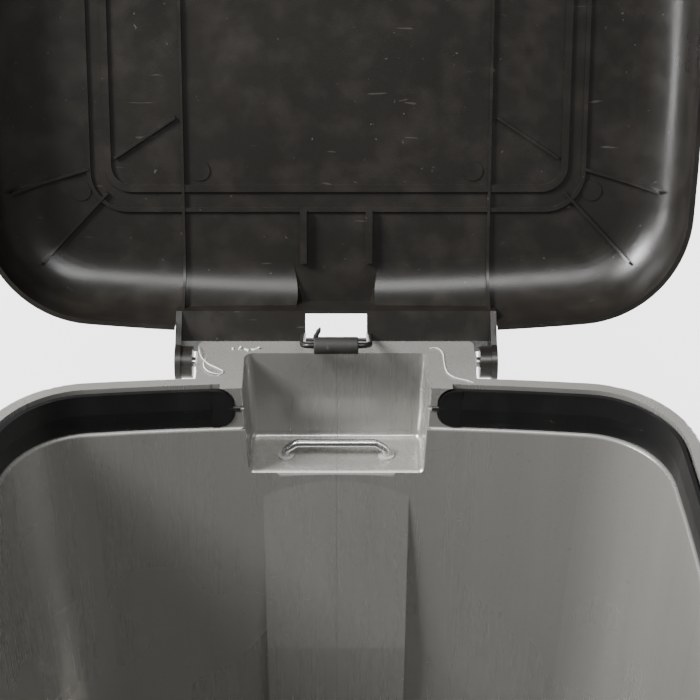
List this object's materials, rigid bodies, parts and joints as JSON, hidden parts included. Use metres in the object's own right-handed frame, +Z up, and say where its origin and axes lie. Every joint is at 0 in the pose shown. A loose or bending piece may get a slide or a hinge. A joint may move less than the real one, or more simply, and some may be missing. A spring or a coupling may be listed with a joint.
{
  "type": "pedal trash can",
  "caption": "Step-pedal trash can with a silver-grey plastic body, black hinged lid thrown open, black bag ring and a steel lift wire in an alcove at the rear.",
  "frame": {"origin": "middle of the bounding box on the floor, with the lid thrown open as stored", "axes": "+Z up; the pedal faces -Y and the hinge is at +Y; X runs along the hinge"},
  "size_m": [0.4172, 0.5657, 0.9266],
  "materials": {
    "silver_plastic": "satin metallic grey",
    "black_plastic": "satin",
    "black_rubber": "matte",
    "zinc_steel": "zinc plated",
    "pale_nylon": "natural"
  },
  "bodies": {
    "base": {"body_shell": "silver_plastic", "base_plinth": "black_plastic", "base_screws": "zinc_steel", "foot_front_left": "black_rubber", "foot_front_right": "black_rubber", "foot_rear_left": "black_rubber", "foot_rear_right": "black_rubber", "hinge_bush_left": "pale_nylon", "hinge_bush_right": "pale_nylon", "rod_grommet_left": "pale_nylon", "rod_grommet_right": "pale_nylon", "rod_guide_upper": "pale_nylon", "rod_guide_lower": "pale_nylon", "channel_cover": "silver_plastic", "cover_screws": "zinc_steel", "axle_bracket_left": "black_plastic", "axle_bracket_right": "black_plastic"},
    "lid": {"lid_shell": "black_plastic", "damper_sleeve": "black_rubber", "hinge_pin_left": "zinc_steel", "hinge_pin_right": "zinc_steel"},
    "ring": {"bag_ring": "black_plastic"},
    "rod": {"lift_rod": "zinc_steel", "rod_clip_left": "zinc_steel", "rod_clip_right": "zinc_steel"},
    "pedal": {"pedal_lever": "zinc_steel", "pedal_tread": "black_plastic", "pedal_grip_pad": "black_rubber", "pedal_axle": "zinc_steel"}
  },
  "joints": [
    {"name": "lid_hinge", "type": "hinge", "parent": "base", "child": "lid", "pos_m": [0, 0.12842, 0.593], "axis": [1, 0, 0], "range_deg": [0, 111]},
    {"name": "pedal_press", "type": "hinge", "parent": "base", "child": "pedal", "pos_m": [0, -0.10308, 0.043], "axis": [1, 0, 0], "range_deg": [0, 13.6]},
    {"name": "rod_lift", "type": "slide", "parent": "base", "child": "rod", "axis": [0, 0, 1], "range_m": [0, 0.0501]},
    {"name": "bag_ring_pivot", "type": "hinge", "parent": "base", "child": "ring", "pos_m": [0, 0.09452, 0.5853], "axis": [-1, 0, 0], "range_deg": [0, 3.2]}
  ],
  "couplings": [
    {"joint": "rod_lift", "follows": "pedal_press", "m_per_rad": 0.21065}
  ]
}
